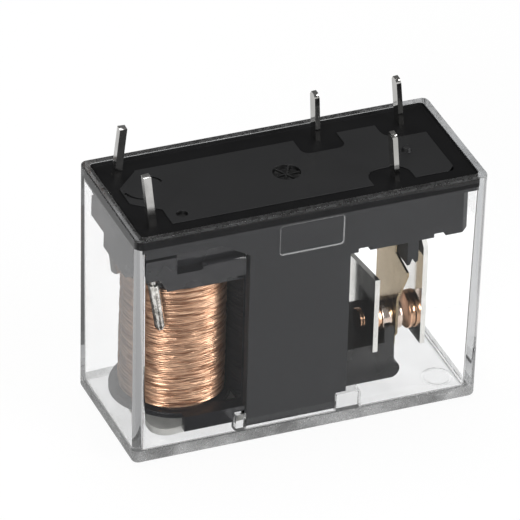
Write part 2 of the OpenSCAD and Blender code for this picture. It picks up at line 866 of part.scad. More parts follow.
// Normally closed strip: pin, jog in the block and flag below
module nc_terminal() {
  z = base_bot - 1.2;
  x0 = nc_face - blade_t;
  y0 = contact_y - 2.8;
  color([0.78, 0.78, 0.76])
    difference() {
      union() {
        blade(nc_x, row_y, z - blade_t, nc_lean);
        span([nc_x - blade_t / 2, row_y - blade_w / 2, z - blade_t], [nc_face, nc_y1, z]);
        span([x0, nc_y1 - 3, flag_top - 1.3], [nc_face, nc_y1, z]);
        yz_plate(x0, blade_t, [[y0, nc_low], [nc_y1 - 3.4, nc_low], [nc_y1 - 1.4, nc_low + 2],
                 [nc_y1, nc_low + 3], [nc_y1, flag_top - 1.2], [y0, flag_top]]);
      }
      along_x(x0 - 1, nc_face + 1, shank_r + seat, contact_y, contact_z);
    }
}

// Rivet contact on the normally closed flag
module nc_contact() {
  x0 = nc_face - blade_t;
  color([0.8, 0.62, 0.5]) {
    along_x(nc_face + seat, nc_face + head_nc, contact_r, contact_y, contact_z);
    along_x(x0 - tail_h, nc_face + head_nc, shank_r, contact_y, contact_z);
    along_x(x0 - tail_h, x0 - seat, shank_r + tail_lip, contact_y, contact_z);
  }
}

// Common strip with its pin, fixed in the block
module com_terminal() {
  x1 = leaf_x0 - seat;
  color([0.78, 0.78, 0.76])
    difference() {
      union() {
        blade(com_x, -row_y, root_z - blade_t, com_lean);
        span([com_x - blade_t / 2, -row_y - blade_w / 2, root_z - blade_t], [x1, -row_y + blade_w / 2, root_z + 0.3]);
        span([x1 - blade_t, -row_y - blade_w / 2, root_z - 0.8], [x1, leaf_y1, root_z + 0.7]);
      }
      leaf_rivet_bore(contact_y - 0.4);
      leaf_rivet_bore(contact_y + 1.6);
    }
}

// Clearance bore for a leaf rivet
module leaf_rivet_bore(y) {
  along_x(com_x - 2, no_x, rivet_r + fit, y, root_z);
}

// Moving copper alloy leaf: root, wing in front, contact field and tip
module com_spring() {
  wing_y = leaf_y0 - 1.7;
  wing_z = rib_z + 0.2;
  tip_y0 = card_y0 + 0.55;
  tip_y1 = contact_y + 1.5;
  color([0.72, 0.62, 0.45])
    difference() {
      yz_plate(leaf_x0, leaf_t, [[contact_y - 1, root_z + 0.6], [leaf_y1, root_z + 0.6], [leaf_y1, contact_z - 1],
               [tip_y1, card_z1], [tip_y1, leaf_z0], [tip_y0, leaf_z0], [tip_y0, card_z1],
               [leaf_y0, contact_z - 1], [leaf_y0, wing_z - 3.4], [wing_y, wing_z - 0.4], [wing_y, wing_z],
               [contact_y - 1, wing_z + 0.5]]);
      along_x(leaf_x0 - 1, leaf_x1 + 1, shank_r + seat, contact_y, contact_z);
      leaf_rivet_bore(contact_y - 0.4);
      leaf_rivet_bore(contact_y + 1.6);
    }
}

// Two-headed rivet contact on the moving leaf
module com_contact() {
  color([0.8, 0.72, 0.62]) {
    along_x(leaf_x0 - head_left, leaf_x0 - seat, contact_r, contact_y, contact_z);
    along_x(leaf_x0 - head_left, leaf_x1 + head_right, shank_r, contact_y, contact_z);
    along_x(leaf_x1 + seat, leaf_x1 + head_right, contact_r, contact_y, contact_z);
  }
}

// Rivet through the common strip and the leaf's root
module leaf_rivet(y) {
  x0 = leaf_x0 - seat - blade_t;
  along_x(x0 - 0.2, leaf_x1 + 0.3, rivet_r, y, root_z);
  along_x(x0 - 0.2, x0 - seat, rivet_r + 0.25, y, root_z);
  along_x(leaf_x1 + touch, leaf_x1 + 0.3, rivet_r + 0.25, y, root_z);
}

// Front rivet of the leaf's root
module leaf_rivet_front() {
  color([0.75, 0.72, 0.66])
    leaf_rivet(contact_y - 0.4);
}

// Back rivet of the leaf's root
module leaf_rivet_back() {
  color([0.75, 0.72, 0.66])
    leaf_rivet(contact_y + 1.6);
}

// Normally open strip: pin above, side step in the block and contact leaf below
module no_terminal() {
  z = base_bot - 0.5;
  y1 = contact_y + 2.2;
  low = contact_z - no_r - 0.35;
  color([0.7, 0.7, 0.69])
    difference() {
      union() {
        blade(no_x, row_y, z - blade_t, no_lean);
        span([no_face, row_y - blade_w / 2, z - blade_t], [no_x + blade_t / 2, nc_y1, z]);
        yz_plate(no_face, blade_t, [[no_y0, low], [contact_y, low], [y1, low + 1.8], [y1, block_z - 2],
                 [nc_y1, block_z], [nc_y1, z], [no_y1, z], [no_y1, block_z], [no_y0, block_z - 1.7]]);
      }
      along_x(no_face - 1, no_face + blade_t + 1, shank_r + seat, contact_y, contact_z);
    }
}

// Rivet contact on the normally open leaf
module no_contact() {
  x1 = no_face + blade_t;
  color([0.75, 0.5, 0.36]) {
    along_x(no_face - head_no, no_face - seat, no_r, contact_y, contact_z);
    along_x(no_face - head_no, x1 + tail_h, shank_r, contact_y, contact_z);
    along_x(x1 + seat, x1 + tail_h, shank_r + tail_lip, contact_y, contact_z);
  }
}
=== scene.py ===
import math

import bmesh
import bpy
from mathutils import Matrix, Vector, noise


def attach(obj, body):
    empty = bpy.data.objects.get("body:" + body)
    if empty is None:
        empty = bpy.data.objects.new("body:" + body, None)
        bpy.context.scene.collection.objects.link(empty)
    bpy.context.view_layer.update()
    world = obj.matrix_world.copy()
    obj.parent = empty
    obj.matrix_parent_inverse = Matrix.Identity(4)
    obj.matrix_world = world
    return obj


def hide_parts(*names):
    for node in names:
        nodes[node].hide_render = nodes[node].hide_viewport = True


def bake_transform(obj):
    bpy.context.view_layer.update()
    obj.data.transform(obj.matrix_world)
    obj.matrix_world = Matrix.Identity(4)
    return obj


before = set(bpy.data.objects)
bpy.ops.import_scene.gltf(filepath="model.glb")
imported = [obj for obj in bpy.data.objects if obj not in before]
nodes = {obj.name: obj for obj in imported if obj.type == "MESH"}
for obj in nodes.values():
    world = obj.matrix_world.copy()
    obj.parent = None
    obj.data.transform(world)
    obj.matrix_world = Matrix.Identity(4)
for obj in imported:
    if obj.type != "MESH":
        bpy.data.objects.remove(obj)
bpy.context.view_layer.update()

# Looks of a board relay in a clear cover. It stands on the closed end of the cover, pins up.
# Lengths are in millimetres, and MM turns them into Blender's metres. The studio is in metres.
MM = 0.001

# clear cover: half length and width, height, opening at the rim, opening at the floor
HALF_L, HALF_W, TALL = 14.5, 6.2, 20.4
RIM_L, RIM_W = 13.9, 5.6
IN_L, IN_W = 13.564, 5.264
DRAFT, FLOOR, FOOT = 0.15, 0.8, 1.12
ROOM_L, ROOM_W = RIM_L + 0.017, RIM_W + 0.017
OVERSHOOT = 1
CORNER_ROUND, FOOT_ROUND, LIP_ROUND, ROOM_ROUND, MOUTH_ROUND = 0.55, 0.3, 0.12, 0.3, 0.1
MOUTH_SLACK = 0.05
LUG_SPANS = ((2.65, 4.7), (-5.75, -4.9))
LUG_LOW, LUG_TOP, LUG_BACK, LUG_ROUND = 0.3, 2.4, -4.31, 0.1

# name panel on the front wall, gate ring under the closed end
PANEL_X, PANEL_Z = (-2.7, 2.5), (16.75, 19.3)
PANEL_OUT_Y, PANEL_Y = -7, -6.053
PANEL_ROUND, PANEL_EDGE_ROUND, PANEL_MARGIN = 0.25, 0.07, 0.05
PANEL_EDGE_Y, PANEL_FACE_Y = -6.12, -6.05
GATE_X, GATE_Y, GATE_OUT, GATE_IN, GATE_DEPTH = 12.2, -2.9, 1.25, 1.0, 0.04
GATE_CORE_LOW, GATE_CORE_TOP, GATE_REACH = -2, 0.2, 1.4

# parts of the cover that have their own finish, in the order of its material slots
CLEAR, HAZY, SCUFFED, DARK_SPECKLED, MOTTLED = range(5)
RIM_BAND, UNDER_BAND, RING_FLOOR, SKIN = 0.13, 0.05, 0.01, 0.5
UPWARD, DOWNWARD, SIDEWAYS = 0.1, -0.9, 0.97

# sealing resin: heights, sag at the edge, raised middle of the base and bays round the pins
RESIN_LOW, RESIN_TOP, RESIN_OVERLAP, RESIN_ROUND = 19.3, 20.34, 0.004, 0.3
RESIN_SAG = ((0.06, 0.12), (0.1, 0.07), (0.12, 0.03))
RAISED_LOW, RAISED_HIGH, RAISED_ROUND = (-10.85, -4.25, 19), (12.55, 3.85, 21), 0.6
LOBE_LOW, LOBE_HIGH, LOBE_TIP = (-12.9, -2.2, 19), (-10.75, 3.85, 21), -12.8
LOBE_TAPER = ((-2.2, 1.7), (3.85, -2.15))
PIN_BAYS = (
    ((2.3, 1.7, 18), (5.9, 6.2, 22), 0.7),
    ((9.15, 1.65, 18), (16.5, 8.2, 22), 1.3),
    ((5.7, -6.2, 18), (9.15, -2.15, 22), 1.3),
)

# winding: solid under the turns, then the turns and how far they wander
COIL_X, WIND_R, WIND_Z0, WIND_Z1, BORE_R = -8.9, 3.85, 2.97, 13.88, 2.14
UNDER_TURNS = 0.15
TURNS, WIRE, WIRE_SIDES, TURN_STEPS = 64, 0.086, 8, 72
TURN_X, TURN_R, SQUARENESS = -8.82, 3.75, 2.5
PULL, PULL_BIAS, SWAY = 0.035, 0.2, 0.035

# moving leaf and card
LEAF_HELD_Z, LEAF_FREE_Z, LEAF_CUTS, LEAF_ROUND = 16.4, 12.8, 9, 0.03
SHOULDER_X, SHOULDER_Z, SHOULDER_EASE, CARD_ROUND = 8.2, 5.5, 0.08, 0.1

# slack when corners are compared, and the gap that is welded, in metres
NEAR, LEVEL_NEAR, WELD = 0.01, 0.001, 1e-7


# ---- mesh helpers

def clear_selection():
    if bpy.context.object and bpy.context.object.mode != "OBJECT":
        bpy.ops.object.mode_set(mode="OBJECT")
    bpy.ops.object.select_all(action="DESELECT")


def take(piece):
    clear_selection()
    piece.select_set(True)
    bpy.context.view_layer.objects.active = piece


def named(name):
    piece = bpy.context.object
    piece.name = name
    bpy.ops.object.transform_apply(location=True, rotation=True, scale=True)
    return piece


def block(name, low, high):
    clear_selection()
    middle = [(a + b) / 2 * MM for a, b in zip(low, high)]
    bpy.ops.mesh.primitive_cube_add(size=1, location=middle)
    bpy.context.object.scale = [(b - a) * MM for a, b in zip(low, high)]
    return named(name)


def drum(name, radius, low, high, x, y, sides=48):
    clear_selection()
    bpy.ops.mesh.primitive_cylinder_add(
        vertices=sides, radius=radius * MM, depth=(high - low) * MM,
        location=(x * MM, y * MM, (low + high) / 2 * MM))
    return named(name)


def pick(piece, kind, test):
    """Select what passes the test and stay in edit mode."""
    take(piece)
    bpy.ops.object.mode_set(mode="EDIT")
    bpy.ops.mesh.select_mode(type=kind)
    bpy.ops.mesh.select_all(action="DESELECT")
    grid = bmesh.from_edit_mesh(piece.data)
    group = {"VERT": grid.verts, "EDGE": grid.edges, "FACE": grid.faces}[kind]
    chosen = 0
    for item in group:
        if test(item):
            item.select_set(True)
            chosen += 1
    bmesh.update_edit_mesh(piece.data)
    return chosen


def leave():
    bpy.ops.object.mode_set(mode="OBJECT")


def shift(piece, test, way):
    pick(piece, "VERT", test)
    bpy.ops.transform.translate(value=[step * MM for step in way])
    leave()


def slice_at(piece, z):
    pick(piece, "FACE", lambda f: True)
    bpy.ops.mesh.bisect(plane_co=(0, 0, z * MM), plane_no=(0, 0, 1))
    leave()


def ends_at(edge, axis, place):
    return all(abs(v.co[axis] / MM - place) < NEAR for v in edge.verts)


def runs_along(edge, axis):
    a, b = edge.verts
    return abs((a.co - b.co).normalized()[axis]) > 0.9


def upright(edge):
    return runs_along(edge, 2)


def round_edges(piece, test, width, steps):
    if pick(piece, "EDGE", test):
        bpy.ops.mesh.bevel(offset=width * MM, segments=steps, profile=0.5, affect="EDGES")
    leave()


def resize_level(piece, z, sx, sy):
    pick(piece, "VERT", lambda v: abs(v.co.z / MM - z) < LEVEL_NEAR)
    bpy.ops.transform.resize(value=(sx, sy, 1), center_override=(0, 0, 0))
    leave()


def apply_modifier(piece, kind, **settings):
    take(piece)
    change = piece.modifiers.new(kind.lower(), kind)
    for key, value in settings.items():
        setattr(change, key, value)
    bpy.ops.object.modifier_apply(modifier=change.name)


def carve(piece, tool, how="DIFFERENCE"):
    apply_modifier(piece, "BOOLEAN", object=tool, operation=how, solver="EXACT")
    bpy.data.objects.remove(tool)


def smooth(piece, angle=35):
    take(piece)
    bpy.ops.object.shade_smooth_by_angle(angle=math.radians(angle))
    apply_modifier(piece, "WEIGHTED_NORMAL", keep_sharp=True, weight=80)


def soft_copy(node, width, steps=2, angle=40):
    """Copy of a solid's mesh with its sharp edges rounded."""
    take(nodes[node])
    bpy.ops.object.duplicate()
    piece = bpy.context.object
    piece.name = node + "_finished"
    for key in list(piece.keys()):
        del piece[key]
    piece.parent = None
    piece.data.materials.clear()
    bpy.ops.object.mode_set(mode="EDIT")
    bpy.ops.mesh.select_all(action="SELECT")
    bpy.ops.mesh.remove_doubles(threshold=WELD)
    bpy.ops.mesh.dissolve_limited(angle_limit=math.radians(1))
    leave()
    apply_modifier(piece, "BEVEL", width=width * MM, segments=steps, limit_method="ANGLE",
                   angle_limit=math.radians(angle), use_clamp_overlap=True,
                   miter_outer="MITER_ARC")
    smooth(piece)
    return piece


def paint(mesh, finish):
    mesh.materials.clear()
    mesh.materials.append(finish)


def finished(piece, finish, body, stands_for):
    if finish:
        paint(piece.data, finish)
    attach(piece, body)
    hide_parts(stands_for)


clear_selection()


# ---- material helpers

def material(name):
    mat = bpy.data.materials.new(name)
    mat.use_nodes = True
    tree = mat.node_tree
    return mat, tree, tree.nodes["Principled BSDF"]


def coordinates(tree, scale=(1, 1, 1)):
    where = tree.nodes.new("ShaderNodeTexCoord")
    fitted = tree.nodes.new("ShaderNodeMapping")
    fitted.inputs["Scale"].default_value = scale
    tree.links.new(where.outputs["Object"], fitted.inputs["Vector"])
    return fitted.outputs["Vector"]


def placed(tree):
    place = tree.nodes.new("ShaderNodeSeparateXYZ")
    tree.links.new(coordinates(tree), place.inputs[0])
    return place.outputs


def grain(tree, scale, detail, vector, roughness=0.5):
    field = tree.nodes.new("ShaderNodeTexNoise")
    field.inputs["Scale"].default_value = scale
    field.inputs["Detail"].default_value = detail
    field.inputs["Roughness"].default_value = roughness
    tree.links.new(vector, field.inputs["Vector"])
    return field.outputs["Fac"]


def ramp(tree, value, low, high, low_at=0.35, high_at=0.65):
    colours = tree.nodes.new("ShaderNodeValToRGB")
    ends = colours.color_ramp.elements
    ends[0].position = low_at
    ends[0].color = (*low, 1)
    ends[1].position = high_at
    ends[1].color = (*high, 1)
    tree.links.new(value, colours.inputs["Fac"])
    return colours.outputs["Color"]


def spread(tree, value, low, high, low_at=0.3, high_at=0.7):
    span = tree.nodes.new("ShaderNodeMapRange")
    span.inputs["From Min"].default_value = low_at
    span.inputs["From Max"].default_value = high_at
    span.inputs["To Min"].default_value = low
    span.inputs["To Max"].default_value = high
    tree.links.new(value, span.inputs["Value"])
    return span.outputs["Result"]


def bumped(tree, shader, height, strength, distance):
    bump = tree.nodes.new("ShaderNodeBump")
    bump.inputs["Strength"].default_value = strength
    bump.inputs["Distance"].default_value = distance
    tree.links.new(height, bump.inputs["Height"])
    tree.links.new(bump.outputs["Normal"], shader.inputs["Normal"])


def math_node(tree, operation, first, second):
    node = tree.nodes.new("ShaderNodeMath")
    node.operation = operation
    for socket, value in zip(node.inputs, (first, second)):
        if isinstance(value, (int, float)):
            socket.default_value = value
        else:
            tree.links.new(value, socket)
    return node.outputs[0]


def mixed_surface(tree, share, first, second):
    both = tree.nodes.new("ShaderNodeMixShader")
    tree.links.new(share, both.inputs["Fac"])
    tree.links.new(first.outputs[0], both.inputs[1])
    tree.links.new(second.outputs[0], both.inputs[2])
    tree.links.new(both.outputs[0], tree.nodes["Material Output"].inputs["Surface"])


# ---- finishes

PLASTIC_GRAIN, PLASTIC_CLOUD = 2600, 300
PLASTIC_BUMP, PLASTIC_BUMP_DEEP = 0.03, 0.00001
METAL_STREAK, METAL_STRETCH, METAL_BUMP_DEEP = 700, (1, 1, 0.15), 0.00003
WIRE_STRETCH, WIRE_BUMP, WIRE_BUMP_DEEP = (0.4, 0.4, 7), 0.3, 0.00005
# the base's colour by height in metres: sides, floors of the marks (darkened as painted shade in
# the recesses), raised middle, pips
BASE_TONES_AND_RECESS_SHADE = ((0.0, 0.016), (0.05, 0.0015), (0.55, 0.011), (0.7, 0.013))
BASE_SHADE_LOW, BASE_SHADE_HIGH = 0.0195, 0.0207
POLYCARBONATE_IOR, POLYCARBONATE_DENSITY = 1.56, 30


def moulded_black(name, low, high, rough, grain_size=PLASTIC_GRAIN):
    mat, tree, shader = material(name)
    where = coordinates(tree)
    fine = grain(tree, grain_size, 4, where)
    cloud = grain(tree, PLASTIC_CLOUD, 3, where)
    tree.links.new(ramp(tree, cloud, low, high), shader.inputs["Base Color"])
    patchy = spread(tree, cloud, rough - 0.05, rough + 0.06)
    tree.links.new(patchy, shader.inputs["Roughness"])
    bumped(tree, shader, fine, PLASTIC_BUMP, PLASTIC_BUMP_DEEP)
    return mat


def base_plastic():
    mat, tree, shader = material("black_base_plastic")
    shader.inputs["Specular IOR Level"].default_value = 0.35
    # colour steps by height, with painted shade on the floors of the marks
    level = tree.nodes.new("ShaderNodeValToRGB")
    level.color_ramp.interpolation = "CONSTANT"
    steps = level.color_ramp.elements
    for position, shade in BASE_TONES_AND_RECESS_SHADE:
        step = steps[0] if position == 0 else steps.new(position)
        step.color = (shade, shade * 1.02, shade * 1.1, 1)
    steps.remove(steps[-1])
    height = spread(tree, placed(tree)["Z"], 0, 1, BASE_SHADE_LOW, BASE_SHADE_HIGH)
    tree.links.new(height, level.inputs["Fac"])
    tree.links.new(level.outputs["Color"], shader.inputs["Base Color"])
    where = coordinates(tree)
    cloud = grain(tree, PLASTIC_CLOUD, 3, where)
    tree.links.new(spread(tree, cloud, 0.46, 0.58), shader.inputs["Roughness"])
    bumped(tree, shader, grain(tree, PLASTIC_GRAIN, 4, where), PLASTIC_BUMP, PLASTIC_BUMP_DEEP)
    return mat


def metal(name, low, high, rough, lumps=900, strength=0.1, metallic=1):
    mat, tree, shader = material(name)
    shader.inputs["Metallic"].default_value = metallic
    cloud = grain(tree, lumps, 4, coordinates(tree))
    streak = grain(tree, METAL_STREAK, 3, coordinates(tree, METAL_STRETCH))
    tree.links.new(ramp(tree, cloud, low, high), shader.inputs["Base Color"])
    streaky = spread(tree, streak, rough - 0.05, rough + 0.08)
    tree.links.new(streaky, shader.inputs["Roughness"])
    bumped(tree, shader, cloud, strength, METAL_BUMP_DEEP)
    return mat


def copper_turns():
    mat, tree, shader = material("copper_wire")
    shader.inputs["Metallic"].default_value = 0.82
    tint = grain(tree, 900, 4, coordinates(tree, WIRE_STRETCH), 0.65)
    colour = ramp(tree, tint, (0.24, 0.105, 0.05), (0.72, 0.457, 0.302), 0.38, 0.6)
    tree.links.new(colour, shader.inputs["Base Color"])
    tree.links.new(spread(tree, tint, 0.34, 0.42), shader.inputs["Roughness"])
    bumped(tree, shader, tint, WIRE_BUMP, WIRE_BUMP_DEEP)
    return mat


def clear_plastic(name, haze, rough, speckle, tone):
    mat, tree, shader = material(name)
    blotch = grain(tree, 400, 3, coordinates(tree))
    colour = ramp(tree, blotch, (tone, tone, tone), (0.985, 0.988, 0.99))
    tree.links.new(colour, shader.inputs["Base Color"])
    shader.inputs["IOR"].default_value = POLYCARBONATE_IOR
    fine = grain(tree, 2500, 2, coordinates(tree))
    tree.links.new(spread(tree, fine, rough, rough + speckle), shader.inputs["Roughness"])
    shader.inputs["Transmission Weight"].default_value = 1 - haze
    shader.inputs["Specular IOR Level"].default_value = 0.3
    # lamp light, bounced light and rays trapped between the walls pass straight through
    through = tree.nodes.new("ShaderNodeBsdfTransparent")
    through.inputs["Color"].default_value = (0.95, 0.955, 0.96, 1)
    path = tree.nodes.new("ShaderNodeLightPath").outputs
    passes = math_node(tree, "MAXIMUM", path["Is Shadow Ray"], path["Is Diffuse Ray"])
    trapped = math_node(tree, "GREATER_THAN", path["Glossy Depth"], 2.5)
    passes = math_node(tree, "MAXIMUM", passes, trapped)
    mixed_surface(tree, passes, shader, through)
    body = tree.nodes.new("ShaderNodeVolumeAbsorption")
    body.inputs["Color"].default_value = (0.3, 0.31, 0.315, 1)
    body.inputs["Density"].default_value = POLYCARBONATE_DENSITY
    tree.links.new(body.outputs[0], tree.nodes["Material Output"].inputs["Volume"])
    return mat


black_base = base_plastic()
black_bobbin = moulded_black(
    "black_bobbin_plastic", (0.012, 0.012, 0.014), (0.018, 0.018, 0.02), rough=0.08)
black_card = moulded_black(
    "black_card_plastic", (0.013, 0.013, 0.0135), (0.019, 0.019, 0.0195), rough=0.14)
resin_black = moulded_black(
    "black_resin", (0.004, 0.004, 0.0045), (0.007, 0.007, 0.0075), rough=0.62, grain_size=900)
resin_shader = resin_black.node_tree.nodes["Principled BSDF"]
resin_shader.inputs["Specular IOR Level"].default_value = 0.12
pin_tin = metal(
    "solder_dipped_pin", (0.7, 0.69, 0.67), (0.92, 0.91, 0.89), rough=0.2, strength=0.3)
strip_tin = metal(
    "tinned_strip", (0.72, 0.71, 0.68), (0.84, 0.83, 0.8), rough=0.08, lumps=500, strength=0.03)
solder = metal(
    "solder", (0.36, 0.34, 0.31), (0.93, 0.91, 0.87), rough=0.24, lumps=2200, strength=0.9)
iron = metal("nickel_iron", (0.5, 0.5, 0.5), (0.62, 0.62, 0.63), rough=0.3)
matt_plate = metal(
    "matt_plated_iron", (0.72, 0.71, 0.67), (0.86, 0.85, 0.81), rough=0.5, metallic=0.3)
copper = copper_turns()
bronze = metal(
    "leaf_alloy", (0.345, 0.27, 0.17), (0.405, 0.32, 0.21), rough=0.2, lumps=500, strength=0.03)
contact_silver = metal(
    "contact_silver", (0.66, 0.52, 0.44), (0.86, 0.76, 0.68), rough=0.16, lumps=700, strength=0.05)
contact_copper = metal(
    "contact_copper", (0.6, 0.34, 0.2), (0.78, 0.5, 0.34), rough=0.2, lumps=700, strength=0.05)
cover_finishes = {
    CLEAR: clear_plastic("clear_polycarbonate", haze=0.0, rough=0.0, speckle=0.02, tone=0.985),
    HAZY: clear_plastic("moulded_edge", haze=0.22, rough=0.22, speckle=0.03, tone=0.9),
    # the rim and the gate ring get a darker, speckled clear finish
    DARK_SPECKLED: clear_plastic("dark_speckled_rim", haze=0.03, rough=0.1, speckle=0.4, tone=0.5),
    MOTTLED: clear_plastic("mottled_foot", haze=0.24, rough=0.1, speckle=0.3, tone=0.45),
    SCUFFED: clear_plastic("scuffed_underside", haze=0.18, rough=0.3, speckle=0.05, tone=0.88),
}


# ---- pieces that replace a solid

def by_panel(x, z):
    return (PANEL_X[0] - PANEL_MARGIN < x < PANEL_X[1] + PANEL_MARGIN
            and PANEL_Z[0] - PANEL_MARGIN < z < PANEL_Z[1] + PANEL_MARGIN)


def panel_edge(edge):
    return all(by_panel(v.co.x / MM, v.co.z / MM) and v.co.y / MM < PANEL_EDGE_Y
               for v in edge.verts)


def mouth_edge(edge):
    return ends_at(edge, 2, TALL) and all(
        abs(v.co.x / MM) < RIM_L + MOUTH_SLACK and abs(v.co.y / MM) < RIM_W + MOUTH_SLACK
        for v in edge.verts)


def cover_finish(face):
    x, y, z = [c / MM for c in face.center]
    if by_panel(x, z) and y < PANEL_FACE_Y and abs(face.normal.y) <= SIDEWAYS:
        return HAZY
    on_rim = z > TALL - RIM_BAND and face.normal.z > UPWARD
    in_ring = RING_FLOOR < z < UNDER_BAND and math.hypot(x - GATE_X, y - GATE_Y) < GATE_REACH
    if on_rim or in_ring:
        return DARK_SPECKLED
    if face.normal.z < DOWNWARD and z < UNDER_BAND:
        return SCUFFED
    outer = abs(x) > IN_L + SKIN or abs(y) > IN_W + SKIN
    if z < FOOT and face.normal.z > DOWNWARD and outer:
        return MOTTLED
    return CLEAR


def cover_shell():
    shell = block("clear_cover", (-HALF_L, -HALF_W, 0), (HALF_L, HALF_W, TALL))
    resize_level(shell, 0, 1 - DRAFT / HALF_L, 1 - DRAFT / HALF_W)
    round_edges(shell, upright, CORNER_ROUND, 5)
    round_edges(shell, lambda e: ends_at(e, 2, 0), FOOT_ROUND, 4)
    round_edges(shell, lambda e: ends_at(e, 2, TALL), LIP_ROUND, 3)
    room = block("cover_room", (-ROOM_L, -ROOM_W, FLOOR), (ROOM_L, ROOM_W, TALL + OVERSHOOT))
    resize_level(room, FLOOR, IN_L / ROOM_L, IN_W / ROOM_W)
    round_edges(room, upright, ROOM_ROUND, 3)
    round_edges(room, lambda e: ends_at(e, 2, FLOOR), ROOM_ROUND, 3)
    for x0, x1 in LUG_SPANS:
        lug = block("locating_lug", (x0, -HALF_W, LUG_LOW), (x1, LUG_BACK, LUG_TOP))
        round_edges(lug, lambda e: ends_at(e, 2, LUG_TOP) or ends_at(e, 1, LUG_BACK), LUG_ROUND, 2)
        carve(room, lug)
    carve(shell, room)
    panel = block("name_panel", (PANEL_X[0], PANEL_OUT_Y, PANEL_Z[0]),
                  (PANEL_X[1], PANEL_Y, PANEL_Z[1]))
    round_edges(panel, lambda e: runs_along(e, 1), PANEL_ROUND, 4)
    carve(shell, panel)
    ring = drum("gate_ring", GATE_OUT, -OVERSHOOT, GATE_DEPTH, GATE_X, GATE_Y)
    carve(ring, drum("gate_core", GATE_IN, GATE_CORE_LOW, GATE_CORE_TOP, GATE_X, GATE_Y))
    carve(shell, ring)
    round_edges(shell, panel_edge, PANEL_EDGE_ROUND, 2)
    round_edges(shell, mouth_edge, MOUTH_ROUND, 2)
    slice_at(shell, FOOT)
    smooth(shell)
    for place in sorted(cover_finishes):
        shell.data.materials.append(cover_finishes[place])
    for face in shell.data.polygons:
        face.material_index = cover_finish(face)
    return shell


def resin_fill():
    wide, deep = RIM_L + RESIN_OVERLAP, RIM_W + RESIN_OVERLAP
    fill = block("resin_fill", (-wide, -deep, RESIN_LOW), (wide, deep, RESIN_TOP))
    round_edges(fill, upright, RESIN_ROUND, 3)
    pick(fill, "FACE", lambda f: f.normal.z > 0.9)
    for margin, drop in RESIN_SAG:
        bpy.ops.mesh.inset(thickness=margin * MM, depth=0)
        bpy.ops.transform.translate(value=(0, 0, -drop * MM))
    leave()
    raised = block("raised_middle", RAISED_LOW, RAISED_HIGH)
    round_edges(raised, lambda e: (upright(e) and ends_at(e, 0, RAISED_HIGH[0])
                                   and ends_at(e, 1, RAISED_LOW[1])), RAISED_ROUND, 3)
    lobe = block("raised_lobe", LOBE_LOW, LOBE_HIGH)
    for y, inward in LOBE_TAPER:
        shift(lobe, lambda v: v.co.x / MM < LOBE_TIP and abs(v.co.y / MM - y) < NEAR,
              (0, inward, 0))
    carve(raised, lobe, "UNION")
    for low_corner, high_corner, radius in PIN_BAYS:
        bay = block("pin_bay", low_corner, high_corner)
        round_edges(bay, upright, radius, 6)
        carve(raised, bay)
    carve(fill, raised)
    apply_modifier(fill, "TRIANGULATE", ngon_method="CLIP")
    smooth(fill, 50)
    return fill


def wander(lane, angle, per_lane, reach, start=0):
    return noise.noise((lane * per_lane + start, math.cos(angle) * reach, math.sin(angle) * reach))


def winding_turns():
    pitch = (WIND_Z1 - WIND_Z0 - 2 * WIRE) / TURNS
    clear_selection()
    bpy.ops.mesh.primitive_circle_add(
        vertices=WIRE_SIDES, radius=WIRE * MM, location=(0, 0, 0), rotation=(math.pi / 2, 0, 0))
    turn = named("winding_turns")
    shift(turn, lambda v: True, (TURN_R - WIRE, 0, WIND_Z0 + WIRE))
    apply_modifier(turn, "SCREW", axis="Z", angle=2 * math.pi, screw_offset=pitch * MM,
                   iterations=TURNS, steps=TURN_STEPS, render_steps=TURN_STEPS,
                   use_merge_vertices=False)
    # each turn wanders a little, on a path that is slightly squared
    for corner in turn.data.vertices:
        place = corner.co
        angle = math.atan2(place.y, place.x)
        lane = round((place.z / MM - WIND_Z0) / pitch - angle / (2 * math.pi))
        sway = wander(lane, angle, 3.7, 3)
        lift = wander(lane, angle, 7.3, 4, 40)
        across = abs(math.cos(angle)) ** SQUARENESS + abs(math.sin(angle)) ** SQUARENESS
        pull = across ** (-1 / SQUARENESS) * (1 - PULL * max(0, lift + PULL_BIAS))
        place.x = place.x * pull
        place.y = place.y * pull
        place.z += SWAY * sway * MM
    shift(turn, lambda v: True, (TURN_X, 0, 0))
    body = drum("winding_body", WIND_R - UNDER_TURNS, WIND_Z0, WIND_Z1, COIL_X, 0)
    carve(body, drum("winding_bore", BORE_R, WIND_Z0 - OVERSHOOT, WIND_Z1 + OVERSHOOT, COIL_X, 0))
    take(turn)
    body.select_set(True)
    bpy.ops.object.join()
    bpy.ops.object.shade_smooth_by_angle(angle=math.radians(50))
    return turn


def relieved_card():
    """Card whose shoulder is eased, so that it clears the leaf at full pull."""
    card = soft_copy("card", CARD_ROUND)
    shift(card, lambda v: v.co.x / MM > SHOULDER_X and v.co.z / MM > SHOULDER_Z,
          (-SHOULDER_EASE, 0, 0))
    return card


def bending_leaf():
    """Leaf with rounded edges, sliced across at even steps from its free height up to its held
    height.
    """
    leaf = soft_copy("com_spring", LEAF_ROUND)
    for step in range(LEAF_CUTS):
        slice_at(leaf, LEAF_FREE_Z + (LEAF_HELD_Z - LEAF_FREE_Z) * step / (LEAF_CUTS - 1))
    smooth(leaf)
    leaf.data.materials.append(bronze)
    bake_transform(leaf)
    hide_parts("com_spring")


finished(cover_shell(), None, "frame", "cover")
finished(resin_fill(), resin_black, "frame", "sealing_resin")
finished(winding_turns(), copper, "frame", "coil_winding")

